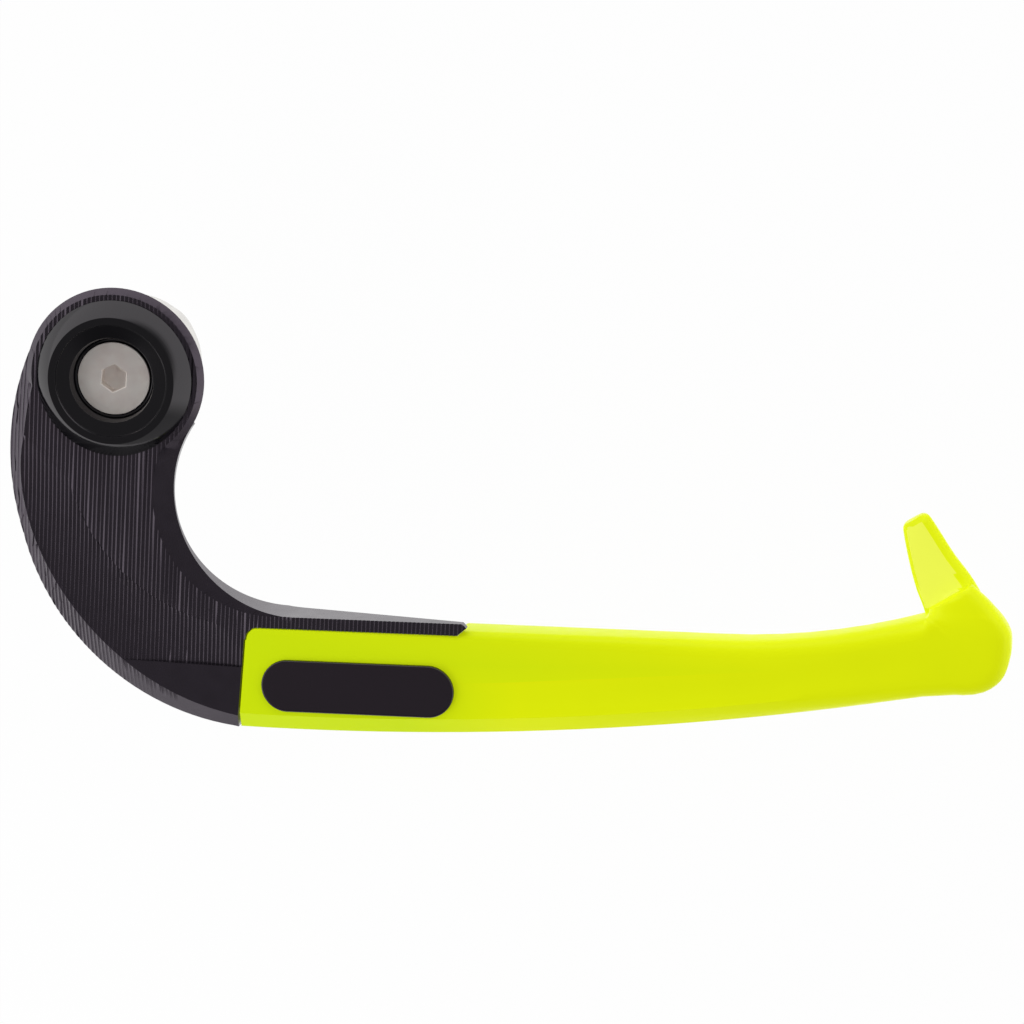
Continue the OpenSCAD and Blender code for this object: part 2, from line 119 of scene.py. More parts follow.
@dataclass(frozen=True)
class Finish:
    """A procedural finish of one material.

    Args:
        slot: the record's slot that the finish belongs to.
        colour: base colour, linear.
        metallic: share of metal, 0 or 1.
        roughness: mean roughness.
        grain: the kind of tool marks.
        mottle: how much the colour varies from place to place.
        relief: height of the marks.
        painted_glow: strength of a painted glow, emission in the surface's own colour that lifts
            its shading evenly as painted light.
        specular: level of the reflection of what isn't metal.
        tint: colour of that reflection when it is seen straight on.
        painted_shading_colours: a painted shade at -1 and a painted light at 1, which a piece's
            painted shading attribute blends into the colour.
    """

    slot: Slot
    colour: Colour
    metallic: float
    roughness: float
    grain: Grain
    mottle: float = 0.06
    relief: float = 0.004
    painted_glow: float = 0.0
    specular: float = 0.5
    tint: Colour = (1.0, 1.0, 1.0)
    painted_shading_colours: tuple[Colour, ...] = ()

    def build(self) -> bpy.types.Material:
        """Makes the material with its nodes.

        Returns:
            The finished material.
        """
        material = bpy.data.materials.new(self.slot.value)
        material.use_nodes = True
        tree = material.node_tree
        shader = tree.nodes["Principled BSDF"]
        shader.inputs["Metallic"].default_value = self.metallic
        shader.inputs["Specular IOR Level"].default_value = self.specular
        shader.inputs["Specular Tint"].default_value = (*self.tint, 1.0)
        # Painted light: this emission lifts the surface's shading evenly.
        shader.inputs["Emission Strength"].default_value = self.painted_glow
        place = tree.nodes.new("ShaderNodeTexCoord")
        self._colour(tree, place, shader)
        self._roughness(tree, place, shader)
        self._relief(tree, place, shader)
        return material

    def _noise(self, tree: Tree, place: Node, per_mm: float, detail: float) -> Node:
        """Adds a noise with so many cells in a millimetre.

        Args:
            tree: the material's node tree.
            place: the node that gives the object's coordinates.
            per_mm: cells in one millimetre.
            detail: octaves of the noise.

        Returns:
            The noise node.
        """
        noise = tree.nodes.new("ShaderNodeTexNoise")
        noise.inputs["Scale"].default_value = per_mm / MM
        noise.inputs["Detail"].default_value = detail
        tree.links.new(place.outputs["Object"], noise.inputs["Vector"])
        return noise

    def _ramp(self, tree: Tree, source: Socket, low: float, high: float) -> Node:
        """Adds a node that spreads a noise from low to high.

        Args:
            tree: the material's node tree.
            source: the value to spread.
            low: result at the noise's low end.
            high: result at its high end.

        Returns:
            The map range node.
        """
        spread = tree.nodes.new("ShaderNodeMapRange")
        spread.inputs["From Min"].default_value = MARKS.band[0]
        spread.inputs["From Max"].default_value = MARKS.band[1]
        spread.inputs["To Min"].default_value = low
        spread.inputs["To Max"].default_value = high
        tree.links.new(source, spread.inputs["Value"])
        return spread

    def _colour(self, tree: Tree, place: Node, shader: Node) -> None:
        """Lets the colour vary a little from place to place, and blends in a piece's painted shade
        and painted light.

        Args:
            tree: the material's node tree.
            place: the node that gives the object's coordinates.
            shader: the shader that takes the colour.
        """
        per_mm = MARKS.flow if self.grain is Grain.MOULDED else MARKS.mottle
        noise = self._noise(tree, place, per_mm, 3.0)
        mix = tree.nodes.new("ShaderNodeMix")
        mix.data_type = "RGBA"
        dark = [c * (1 - self.mottle) for c in self.colour]
        light = [min(1.0, c * (1 + self.mottle)) for c in self.colour]
        mix.inputs["A"].default_value = (*dark, 1.0)
        mix.inputs["B"].default_value = (*light, 1.0)
        spread = self._ramp(tree, noise.outputs["Fac"], 0.0, 1.0)
        tree.links.new(spread.outputs["Result"], mix.inputs["Factor"])
        result = mix.outputs["Result"]
        # Painted shade and painted light: colours blended in where the piece's painted shading
        # attribute asks for them.
        for side, colour in zip((-1.0, 1.0), self.painted_shading_colours):
            result = self._blend_painted_shading(tree, result, side, colour)
        tree.links.new(result, shader.inputs["Base Color"])
        # The painted glow takes the surface's own colour.
        if self.painted_glow > 0:
            tree.links.new(result, shader.inputs["Emission Color"])

    def _blend_painted_shading(self, tree: Tree, under: Socket, side: float, colour: Colour) -> Socket:
        """Blends in a painted shade or a painted light where a piece's painted shading attribute
        asks for it.

        Args:
            tree: the material's node tree.
            under: the colour so far.
            side: the value of that attribute at which the other colour is full, -1 or 1.
            colour: the other colour, a painted shade or a painted light.

        Returns:
            The blended colour's socket.
        """
        painted_shading = tree.nodes.new("ShaderNodeAttribute")
        painted_shading.attribute_name = PAINTED_SHADING
        share = tree.nodes.new("ShaderNodeMath")
        share.operation = "MULTIPLY"
        share.use_clamp = True
        share.inputs[1].default_value = side
        mix = tree.nodes.new("ShaderNodeMix")
        mix.data_type = "RGBA"
        mix.inputs["B"].default_value = (*colour, 1.0)
        tree.links.new(painted_shading.outputs["Fac"], share.inputs[0])
        tree.links.new(share.outputs[0], mix.inputs["Factor"])
        tree.links.new(under, mix.inputs["A"])
        return mix.outputs["Result"]

    def _roughness(self, tree: Tree, place: Node, shader: Node) -> None:
        """Lets the roughness vary, as handling and tools leave it.

        Args:
            tree: the material's node tree.
            place: the node that gives the object's coordinates.
            shader: the shader that takes the roughness.
        """
        noise = self._noise(tree, place, MARKS.wear, 2.0)
        low, high = (self.roughness * share for share in MARKS.wear_band)
        spread = self._ramp(tree, noise.outputs["Fac"], low, high)
        tree.links.new(spread.outputs["Result"], shader.inputs["Roughness"])

    def _relief(self, tree: Tree, place: Node, shader: Node) -> None:
        """Adds the fine marks of blasting, turning or moulding.

        Args:
            tree: the material's node tree.
            place: the node that gives the object's coordinates.
            shader: the shader that takes the relief.
        """
        bump = tree.nodes.new("ShaderNodeBump")
        bump.inputs["Distance"].default_value = self.relief * MM
        bump.inputs["Strength"].default_value = MARKS.strength
        if self.grain is Grain.TURNED:
            mark = tree.nodes.new("ShaderNodeTexWave")
            mark.wave_type = "RINGS"
            mark.rings_direction = "Z"
            mark.inputs["Scale"].default_value = MARKS.lathe / MM
            mark.inputs["Distortion"].default_value = MARKS.waver
            tree.links.new(place.outputs["Object"], mark.inputs["Vector"])
        else:
            per_mm = MARKS.ripple if self.grain is Grain.MOULDED else MARKS.blast
            mark = self._noise(tree, place, per_mm, 2.0)
        tree.links.new(mark.outputs["Fac"], bump.inputs["Height"])
        tree.links.new(bump.outputs["Normal"], shader.inputs["Normal"])


class FinishShelf:
    """Keeps one material of each finish."""

    FINISHES: tuple[Finish, ...] = (
        Finish(
            Slot.BLACK, (0.009, 0.0075, 0.0105), 0.0, 0.24, Grain.BLASTED,
            mottle=0.2, relief=0.002, specular=0.75, tint=(0.97, 0.81, 1.0),
        ),
        Finish(
            Slot.GLOSS, (0.002, 0.002, 0.003), 0.0, 0.08, Grain.TURNED,
            relief=0.0005, tint=(1.0, 0.95, 1.0),
        ),
        Finish(Slot.STEEL, (0.98, 0.90, 0.86), 1.0, 0.62, Grain.TURNED, relief=0.002),
        Finish(Slot.ALUMINIUM, (0.60, 0.585, 0.56), 1.0, 0.3, Grain.TURNED),
        # Painted light on the yellow: a glow that flattens its shading, a painted shade that is
        # darker and greener by the bracket, and a painted light that is paler on the flap's inner
        # face.
        Finish(
            Slot.YELLOW, (0.665, 0.75, 0.001), 0.0, 0.36, Grain.MOULDED,
            mottle=0.012, relief=0.002, painted_glow=0.4, specular=0.12,
            painted_shading_colours=((0.53, 0.68, 0.002), (0.74, 0.80, 0.07)),
        ),
        Finish(Slot.BADGE, (0.014, 0.008, 0.014), 0.0, 0.12, Grain.MOULDED, relief=0.001),
        Finish(Slot.BRASS, (0.72, 0.50, 0.20), 1.0, 0.3, Grain.TURNED),
    )

    def __init__(self) -> None:
        """Builds every finish once."""
        self._made: dict[Slot, bpy.types.Material] = {f.slot: f.build() for f in self.FINISHES}

    def get(self, slot: Slot) -> bpy.types.Material:
        """Returns the material of a slot."""
        return self._made[slot]


def write_piece(
    name: str, bm: Mesh, slot: Slot, shelf: FinishShelf, nodes: Sequence[str], crease: float = 30.0
) -> Piece:
    """Turns a bmesh in metres into a finished piece that rides on the frame.

    Args:
        name: the piece's name.
        bm: its mesh in metres, freed here.
        slot: the slot that it takes its finish from.
        shelf: the finishes.
        nodes: names of the CAD nodes that it stands for.
        crease: angle in degrees past which an edge shades sharp; 0 keeps the mesh's own marks.

    Returns:
        The new object.
    """
    if crease > 0:
        mark_sharp(bm, crease)
    for face in bm.faces:
        face.smooth = True
    mesh = bpy.data.meshes.new(name)
    bm.to_mesh(mesh)
    bm.free()
    mesh.materials.append(shelf.get(slot))
    piece = bpy.data.objects.new(name, mesh)
    bpy.context.scene.collection.objects.link(piece)
    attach(piece, "root")
    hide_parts(*nodes)
    counts = len(mesh.vertices), len(mesh.polygons)
    LOG.info("%s: %d vertices, %d faces, stands for %s", name, *counts, ", ".join(nodes))
    return piece


def mark_sharp(bm: Mesh, degrees: float) -> None:
    """Marks each edge that turns further than an angle as sharp.

    Args:
        bm: the mesh to mark.
        degrees: the angle.
    """
    limit = math.radians(degrees)
    for edge in bm.edges:
        edge.smooth = len(edge.link_faces) == 2 and edge.calc_face_angle(0.0) < limit


def close_rings(bm: Mesh, rings: Sequence[list[bmesh.types.BMEdge]]) -> None:
    """Joins each ring of edges to the next, closes both ends and turns the faces outwards.

    Args:
        bm: the mesh that the rings are in.
        rings: the rings in order, with as many edges in each.
    """
    for lower, upper in zip(rings, rings[1:]):
        bmesh.ops.bridge_loops(bm, edges=lower + upper)
    bmesh.ops.holes_fill(bm, edges=[e for e in bm.edges if e.is_boundary], sides=0)
    bmesh.ops.recalc_face_normals(bm, faces=bm.faces)


def copy_node(node: str) -> Mesh:
    """Copies a CAD node's mesh and joins its loose triangles.

    Args:
        node: the CAD node's name.

    Returns:
        A merged mesh in metres, with flat regions as single faces.
    """
    bm = bmesh.new()
    bm.from_mesh(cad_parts[node].data)
    bmesh.ops.remove_doubles(bm, verts=bm.verts, dist=NODE_MERGE * MM)
    bmesh.ops.dissolve_limit(
        bm,
        angle_limit=math.radians(FLAT_DEGREES),
        use_dissolve_boundaries=False,
        verts=bm.verts,
        edges=bm.edges,
    )
    return bm


@dataclass
class CopiedPiece:
    """A piece that keeps a CAD node's own shape, with smooth shading and its finish."""

    node: str
    slot: Slot

    def build(self, shelf: FinishShelf) -> Piece:
        """Makes the piece and returns it."""
        return write_piece(f"{self.node}_skin", copy_node(self.node), self.slot, shelf, [self.node])


@dataclass
class GripSleeve:
    """The slit sleeve that grips the handlebar: the CAD node's shape, with a lead-in taper.

    Args:
        outside: radius past which a vertex lies on the sleeve's outside.
        start: height at which the taper begins.
        end: height of the sleeve's inner end.
        taper: how far the taper comes in at that end.
    """

    outside: float = 7.5
    start: float = -8.3
    end: float = -11.3
    taper: float = 0.65

    def build(self, shelf: FinishShelf) -> Piece:
        """Makes the piece.

        Args:
            shelf: the finishes.

        Returns:
            The new object.
        """
        bm = copy_node("expander_sleeve")
        for vert in bm.verts:
            radius = math.hypot(vert.co.x, vert.co.y) / MM
            if radius > self.outside and vert.co.z / MM < self.start:
                share = (self.start - vert.co.z / MM) / (self.start - self.end)
                scale = (radius - self.taper * share) / radius
                vert.co.x *= scale
                vert.co.y *= scale
        return write_piece("expander_sleeve_slit", bm, Slot.ALUMINIUM, shelf, ["expander_sleeve"])


@dataclass
class MilledBracket:
    """The bracket: the CAD node's shape, with the fine ridges that the cutter left on its crown.

    Args:
        pitch: distance between two ridges.
        depth: depth of a groove between them.
        lean: how far the ridges lean to the right of the frame's +Y, in degrees.
        arc_centre: centre of the arm's outer arc.
        bevel_from: distance from that centre at which the bevel begins.
        fade: directions from that centre between which the bevel's ridges fade out.
        crown_z: height above which a face belongs to the crown.
        crown_up: least Z of a crown face's normal.
        wedge: most X, either way, and most Y of the smooth facet's normal.
        bevel_up: range of the Z of a bevel face's normal.
        bevel_x: X up to which the bevel is ridged.
        crease_centre: centre of the crease between the crown's two fields.
        crease_r: radius of the crease.
        crease_reach: how far from the crease a groove's vertex still counts as on it.
        crease_span: directions from that centre between which the crease is chipped.
        chip_length: length of a chip.
        chip_room: how many such lengths a groove needs past the crease.
        chip_low: place of a chip's lowest point along it.
        chip_depth: extra depth of the deepest chip.
        chip_fade: power that the depth fades out with towards the span's ends.
        sharp: angle in degrees past which an edge shades sharp.
    """

    pitch: float = 0.69
    depth: float = 0.17
    lean: float = 3.0
    arc_centre: tuple[float, float] = (26.9, -13.9)
    bevel_from: float = 42.6
    fade: tuple[float, float] = (212.0, 246.0)
    crown_z: float = 14.0
    crown_up: float = 0.97
    wedge: tuple[float, float] = (0.01, -0.015)
    bevel_up: tuple[float, float] = (0.76, 0.84)
    bevel_x: float = 20.0
    crease_centre: tuple[float, float] = (22.2, -10.1)
    crease_r: float = 30.9
    crease_reach: float = 0.3
    crease_span: tuple[float, float] = (178.0, 262.0)
    chip_length: float = 1.1
    chip_room: float = 1.5
    chip_low: float = 0.45
    chip_depth: float = 0.32
    chip_fade: float = 0.7
    sharp: float = 24.0

    def build(self, shelf: FinishShelf) -> Piece:
        """Makes the piece.

        Args:
            shelf: the finishes.

        Returns:
            The new object.
        """
        bm = copy_node("bracket")
        tag = bm.faces.layers.int.new("ridged")
        for face in bm.faces:
            face[tag] = int(self._takes_ridges(face))
        grooves, crests = self._cut(bm, tag)
        chips = self._chip(bm, grooves)
        for vert in grooves:
            vert.co.z -= self._depth_at(vert.co / MM) * MM
        for vert, depth in chips.items():
            vert.co.z -= depth * MM
        bm.normal_update()
        mark_sharp(bm, self.sharp)
        for edge in bm.edges:
            sides = [face[tag] for face in edge.link_faces]
            if len(sides) == 2 and sides[0] != sides[1]:
                edge.smooth = False
            elif sum(sides) == 2 and edge.verts[0] in grooves and edge.verts[1] in grooves:
                edge.smooth = True
            elif sum(sides) == 2 and edge.verts[0] in crests and edge.verts[1] in crests:
                edge.smooth = False
        LOG.info("bracket: %d chips along the crease", len(chips))
        return write_piece("bracket_milled", bm, Slot.BLACK, shelf, ["bracket"], 0.0)

    def _takes_ridges(self, face: bmesh.types.BMFace) -> bool:
        """Tells whether a face lies on the crown or the outer bevel, and not on a smooth facet.

        Args:
            face: the face.

        Returns:
            Whether the cutter left ridges on it.
        """
        normal, centre = face.normal, face.calc_center_median() / MM
        if centre.z < self.crown_z:
            return False
        wedge = abs(normal.x) < self.wedge[0] and normal.y < self.wedge[1]
        bevel = self.bevel_up[0] < normal.z < self.bevel_up[1] and centre.x < self.bevel_x
        return (normal.z > self.crown_up and not wedge) or bevel

    def _cut(self, bm: Mesh, tag: bmesh.types.BMLayerItem) -> tuple[set, set]:
        """Splits the ridged faces along every groove and crest, from left to right.

        Args:
            bm: the bracket's mesh.
            tag: the layer that marks the ridged faces.

        Returns:
            The vertices along the grooves, and those along the crests.
        """
        lean = math.radians(self.lean)
        across = Vector((math.cos(lean), -math.sin(lean), 0.0))
        faces = [face for face in bm.faces if face[tag]]
        reach = [vert.co.dot(across) / MM for face in faces for vert in face.verts]
        grooves: set = set()
        crests: set = set()
        step = self.pitch / 2
        for index in range(math.ceil(min(reach) / step), math.floor(max(reach) / step) + 1):
            place = index * step * MM
            edges = {edge for face in faces for edge in face.edges}
            verts = {vert for edge in edges for vert in edge.verts}
            cut = bmesh.ops.bisect_plane(
                bm,
                geom=[*verts, *edges, *faces],
                dist=FINE_MERGE * MM,
                plane_co=across * place,
                plane_no=across,
            )
            line = {part for part in cut["geom_cut"] if isinstance(part, bmesh.types.BMVert)}
            (grooves if index % 2 else crests).update(line)
            faces = [
                part
                for part in cut["geom"]
                if isinstance(part, bmesh.types.BMFace)
                and part.calc_center_median().dot(across) > place
            ]
        return grooves, crests

    def _chip(self, bm: Mesh, grooves: set) -> dict:
        """Ends the outer field's grooves at the crease in small chips, where the cutter turned.

        Args:
            bm: the bracket's mesh.
            grooves: the vertices along the grooves; the new ones join them.

        Returns:
            The lowest vertex of each chip, with its extra depth.
        """
        chips: dict = {}
        centre = Vector(self.crease_centre)
        first, last = self.crease_span
        for vert in sorted(grooves, key=lambda v: (v.co.x, v.co.y)):
            out = vert.co.xy / MM - centre
            share = (math.degrees(math.atan2(out.y, out.x)) % 360.0 - first) / (last - first)
            if abs(out.length - self.crease_r) > self.crease_reach or not 0.0 < share < 1.0:
                continue
            for edge in list(vert.link_edges):
                end = edge.other_vert(vert)
                length = edge.calc_length() / MM
                beyond = (end.co.xy / MM - centre).length > out.length
                short = length < self.chip_room * self.chip_length
                if end not in grooves or not beyond or short:
                    continue
                tail = bmesh.utils.edge_split(edge, vert, self.chip_length / length)[1]
                low = bmesh.utils.edge_split(bm.edges.get((vert, tail)), vert, self.chip_low)[1]
                grooves.update((tail, low))
                chips[low] = self.chip_depth * math.sin(math.pi * share) ** self.chip_fade
        return chips

    def _depth_at(self, place: Vector) -> float:
        """Gives a groove's depth: full on the crown, fading out along the lower bevel.

        Args:
            place: a place on the groove.

        Returns:
            The depth there.
        """
        dx, dy = place.x - self.arc_centre[0], place.y - self.arc_centre[1]
        if math.hypot(dx, dy) < self.bevel_from:
            return self.depth
        turn = math.degrees(math.atan2(dy, dx)) % 360.0
        share = min(1.0, max(0.0, (turn - self.fade[0]) / (self.fade[1] - self.fade[0])))
        return self.depth * (1.0 - share * share * (3.0 - 2.0 * share))


@dataclass
class TurnedPiece:
    """A piece made on a lathe: a profile spun round the frame's Z axis, with its edges broken.

    Args:
        node: the CAD node that it stands for.
        slot: the slot of its finish.
        profile: radius and height of each corner, once round the section.
        edge: width of the broken edges.
        steps: faces round the axis.
        sharp: angle in degrees past which an edge shades sharp.
    """

    node: str
    slot: Slot
    profile: list[tuple[float, float]]
    edge: float = 0.1
    steps: int = 128
    sharp: float = 24.0

    def build(self, shelf: FinishShelf) -> Piece:
        """Makes the piece and returns it."""
        name = f"{self.node}_turned"
        return write_piece(name, self.shape(), self.slot, shelf, [self.node], self.sharp)

    def shape(self) -> Mesh:
        """Spins the profile.

        Returns:
            The mesh in metres.
        """
        bm = bmesh.new()
        corners = [bm.verts.new(Vector((r, 0.0, z)) * MM) for r, z in self.profile]
        for index, corner in enumerate(corners):
            bm.edges.new((corners[index - 1], corner))
        bmesh.ops.bevel(
            bm,
            geom=corners,
            offset=self.edge * MM,
            offset_type="OFFSET",
            segments=3,
            profile=0.5,
            affect="VERTICES",
            material=-1,
            clamp_overlap=True,
        )
        bmesh.ops.spin(
            bm,
            geom=[*bm.verts, *bm.edges],
            cent=Vector(),
            axis=Vector((0.0, 0.0, 1.0)),
            angle=math.tau,
            steps=self.steps,
            use_merge=True,
        )
        bmesh.ops.remove_doubles(bm, verts=bm.verts, dist=FINE_MERGE * MM)
        bmesh.ops.recalc_face_normals(bm, faces=bm.faces)
        return bm


@dataclass
class ClampScrew:
    """The countersunk clamp screw, with a hexagon socket in a plain head.

    Args:
        top: height of the head's face.
        head_r: radius of the head.
        rim: height of the head's cylindrical rim.
        edge: width of the head's broken edge.
        shank_r: radius of the shank.
        length: length of the screw.
        tip: width of the chamfer at its tip.
        core: radius of the small faces that close its ends.
        socket_af: width of the socket across its flats.
        socket_depth: depth of the socket.
        socket_turn: direction of the socket's first corner, in degrees.
        lead: width of the lead-in round the socket.
        lead_z: depths at which the lead-in begins and ends.
        floor_share: size of the drilled cone against the socket.
        floor_step: how far the socket's floor falls towards the cone.
        cone: depth of the cone.
        steps: faces round the axis, a multiple of six.
        sharp: angle in degrees past which an edge shades sharp.
    """

    top: float = 17.6
    head_r: float = 6.0
    rim: float = 0.3
    edge: float = 0.07
    shank_r: float = 3.0
    length: float = 35.0
    tip: float = 0.8
    core: float = 0.05
    socket_af: float = 4.0
    socket_depth: float = 1.9
    socket_turn: float = 25.0
    lead: float = 0.16
    lead_z: tuple[float, float] = (0.01, 0.12)
    floor_share: float = 0.82
    floor_step: float = 0.02
    cone: float = 0.8
    steps: int = 96
    sharp: float = 26.0

    def build(self, shelf: FinishShelf) -> Piece:
        """Makes the screw from its tip to the bottom of its socket.

        Args:
            shelf: the finishes.

        Returns:
            The new object.
        """
        low = self.top - self.length
        outside = [
            (self.core, low),
            (self.shank_r - self.tip, low),
            (self.shank_r, low + self.tip),
            (self.shank_r, self.top - self.rim - self.head_r + self.shank_r),
            (self.head_r, self.top - self.rim),
            (self.head_r, self.top - self.edge),
            (self.head_r - self.edge, self.top),
        ]
        corner = self.socket_af / math.sqrt(3.0)
        floor = self.top - self.socket_depth
        bm = bmesh.new()
        rings = [self._ring(bm, r, z, 0.0) for r, z in outside]
        rings.append(self._ring(bm, corner + self.lead, self.top - self.lead_z[0], 1.0))
        rings.append(self._ring(bm, corner, self.top - self.lead_z[1], 1.0))
        rings.append(self._ring(bm, corner, floor, 1.0))
        rings.append(self._ring(bm, corner * self.floor_share, floor - self.floor_step, 0.0))
        rings.append(self._ring(bm, self.core, floor - self.cone, 0.0))
        close_rings(bm, rings)
        return write_piece("clamp_screw_turned", bm, Slot.STEEL, shelf, ["clamp_screw"], self.sharp)

    def _ring(self, bm: Mesh, radius: float, height: float, six: float) -> list[bmesh.types.BMEdge]:
        """Adds one ring of vertices.

        Args:
            bm: the mesh.
            radius: radius of the ring, at a corner of the hexagon where it is one.
            height: height of the ring.
            six: 1 for a hexagon, 0 for a circle.

        Returns:
            The ring's edges.
        """
        first = math.radians(self.socket_turn)
        turn = Matrix.Rotation(first, 4, "Z")
        made = bmesh.ops.create_circle(
            bm, cap_ends=False, segments=self.steps, radius=1.0, matrix=turn
        )["verts"]
        for vert in made:
            angle = (math.atan2(vert.co.y, vert.co.x) - first) % (math.pi / 3)
            flat = math.cos(math.pi / 6) / math.cos(angle - math.pi / 6)
            vert.co *= radius * (1.0 + six * (flat - 1.0)) * MM
            vert.co.z = height * MM
        return list({edge for vert in made for edge in vert.link_edges})


@dataclass
class DomedBadge:
    """The bare domed label: a stadium with a soft shoulder and a low dome.

    Args:
        left: the stadium's left end.
        right: its right end.
        low: its lowest Y.
        high: its highest Y.
        foot: height of the pocket's floor.
        shoulder: height at which the side turns over.
        turn_in: how far it turns in over the shoulder.
        turn_up: how far it rises on the way.
        dome: how far the dome rises past that.
        turn_shares: places of the rings over the shoulder.
        dome_shares: places of the rings from there to the middle.
        steps: vertices round the stadium.
        sharp: angle in degrees past which an edge shades sharp.
    """

    left: float = 23.9
    right: float = 55.9
    low: float = -54.9
    high: float = -46.2
    foot: float = 17.2
    shoulder: float = 17.75
    turn_in: float = 0.55
    turn_up: float = 0.3
    dome: float = 0.15
    turn_shares: tuple[float, ...] = (0.0, 0.12, 0.3, 0.5, 0.72, 1.0)
    dome_shares: tuple[float, ...] = (0.35, 0.6, 0.8, 0.94)
    steps: int = 96
    sharp: float = 50.0

    def build(self, shelf: FinishShelf) -> Piece:
        """Stacks the rings from the foot to the crown.

        Args:
            shelf: the finishes.

        Returns:
            The new object.
        """
        bm = bmesh.new()
        reach = (self.high - self.low) / 2 - self.turn_in
        rings = [self._ring(bm, 0.0, self.foot)]
        for share in self.turn_shares:
            turn = share * math.pi / 2
            height = self.shoulder + self.turn_up * math.sin(turn)
            rings.append(self._ring(bm, self.turn_in * (1 - math.cos(turn)), height))
        for share in self.dome_shares:
            height = self.shoulder + self.turn_up + self.dome * (1 - (1 - share) ** 2)
            rings.append(self._ring(bm, self.turn_in + reach * share, height))
        close_rings(bm, rings)
        return write_piece("badge_domed", bm, Slot.BADGE, shelf, ["badge"], self.sharp)

    def _ring(self, bm: Mesh, inset: float, height: float) -> list[bmesh.types.BMEdge]:
        """Adds one stadium ring.

        Args:
            bm: the mesh.
            inset: distance in from the badge's outline.
            height: height of the ring.

        Returns:
            The ring's edges.
        """
        radius = (self.high - self.low) / 2
        spread = (self.right - self.left) / 2 - radius
        turn = Matrix.Rotation(math.pi / self.steps, 4, "Z")
        made = bmesh.ops.create_circle(
            bm, cap_ends=False, segments=self.steps, radius=1.0, matrix=turn
        )["verts"]
        centre = Vector(((self.left + self.right) / 2, (self.low + self.high) / 2, height))
        for vert in made:
            out = vert.co.copy()
            shift = Vector((math.copysign(spread, out.x), 0.0, 0.0))
            vert.co = (centre + out * (radius - inset) + shift) * MM
        return list({edge for vert in made for edge in vert.link_edges})


@dataclass
class MouldedBlade:
    """The blade with its flap: the CAD node's shape, with a gap by the bracket, a painted shade by
    the bracket and a painted light on the flap's inner face.

    Args:
        gap: width of the gap that shows beside the bracket.
        gap_reach: X at which the blade keeps its place.
        painted_shade_x: X between which the painted shade by the bracket, darker and greener, fades
            out.
        flap_y: Y above which a face belongs to the flap.
        band_x: X past which the flap's rounded band runs smoothly into the blade.
        root_y: range of Y of the flap's root, which is smoothed over.
        root_z: height above which it is smoothed.
        root_rounds: how many times it is smoothed.
        inner_x: X past which a face may belong to the flap's inner face.
        inner_up: range of the Z of such a face's normal.
        inner_side: most X of that normal.
        inner_top: X and height of a point on that face's upper end.
        inner_fall: how far that end falls with each millimetre of X.
        sharp: angle in degrees past which an edge shades sharp.
    """

    gap: float = 0.2
    gap_reach: float = 23.8
    painted_shade_x: tuple[float, float] = (48.0, 66.0)
    flap_y: float = -34.6
    band_x: float = 135.6
    root_y: tuple[float, float] = (-35.0, -29.5)
    root_z: float = 8.0
    root_rounds: int = 3
    inner_x: float = 122.0
    inner_up: tuple[float, float] = (0.8, 0.94)
    inner_side: float = -0.08
    inner_top: tuple[float, float] = (133.0, 12.05)
    inner_fall: float = 0.22
    sharp: float = 30.0

    def build(self, shelf: FinishShelf) -> Piece:
        """Makes the piece.

        Args:
            shelf: the finishes.

        Returns:
            The new object.
        """
        bm = copy_node("guard_blade")
        start = min(vert.co.x for vert in bm.verts) / MM
        for vert in bm.verts:
            short = max(0.0, self.gap_reach - vert.co.x / MM)
            vert.co.x += self.gap * short / (self.gap_reach - start) * MM
        # Painted shading on every corner: a painted shade by the bracket and a painted light on the
        # flap's inner face.
        painted_shading = bm.loops.layers.float.new(PAINTED_SHADING)
        for face in bm.faces:
            for loop in face.loops:
                loop[painted_shading] = self._painted_shading_at(loop.vert.co / MM, face)
        root = [vert for vert in bm.verts if self._at_root(vert.co / MM)]
        axes = {"use_axis_x": False, "use_axis_y": False, "use_axis_z": True}
        for _ in range(self.root_rounds):
            bmesh.ops.smooth_vert(bm, verts=root, factor=0.5, **axes)
        mark_sharp(bm, self.sharp)
        for edge in bm.edges:
            middle = (edge.verts[0].co + edge.verts[1].co) / 2 / MM
            if middle.x > self.band_x and middle.y > self.flap_y:
                edge.smooth = True
        return write_piece("guard_blade_moulded", bm, Slot.YELLOW, shelf, ["guard_blade"], 0.0)

    def _painted_shading_at(self, place: Vector, face: bmesh.types.BMFace) -> float:
        """Gives the painted shading at a corner: a painted shade, darker and greener, by the
        bracket, and a painted light, paler, on the flap's inner face.

        Args:
            place: the corner.
            face: the face that it is a corner of.

        Returns:
            The painted shading, from -1 for full painted shade to 1 for full painted light.
        """
        # Painted light on the flap's inner face, and a painted shade fading in towards the bracket.
        if self._is_inner(face):
            return 1.0
        share = (self.painted_shade_x[1] - place.x) / (self.painted_shade_x[1] - self.painted_shade_x[0])
        return -min(1.0, max(0.0, share))

    def _at_root(self, place: Vector) -> bool:
        """Tells whether a vertex lies where the flap's rounded band runs into the blade."""
        in_band = self.root_y[0] < place.y < self.root_y[1]
        return place.x > self.band_x and in_band and place.z > self.root_z

    def _is_inner(self, face: bmesh.types.BMFace) -> bool:
        """Tells whether a face is part of the flap's inner one.

        Args:
            face: the face.

        Returns:
            Whether it is.
        """
        centre, normal = face.calc_center_median() / MM, face.normal
        on_flap = centre.y > self.flap_y and centre.x > self.inner_x
        below = centre.z < self.inner_top[1] - self.inner_fall * (centre.x - self.inner_top[0])
        faces_in = self.inner_up[0] < normal.z < self.inner_up[1] and normal.x < self.inner_side
        return on_flap and below and faces_in


@dataclass(frozen=True)
class SoftBox:
    """One square lamp that faces the object.

    Args:
        name: the lamp's name.
        at: its place.
        side: its side.
        watts: its power.
    """

    name: str
    at: tuple[float, float, float]
    side: float
    watts: float


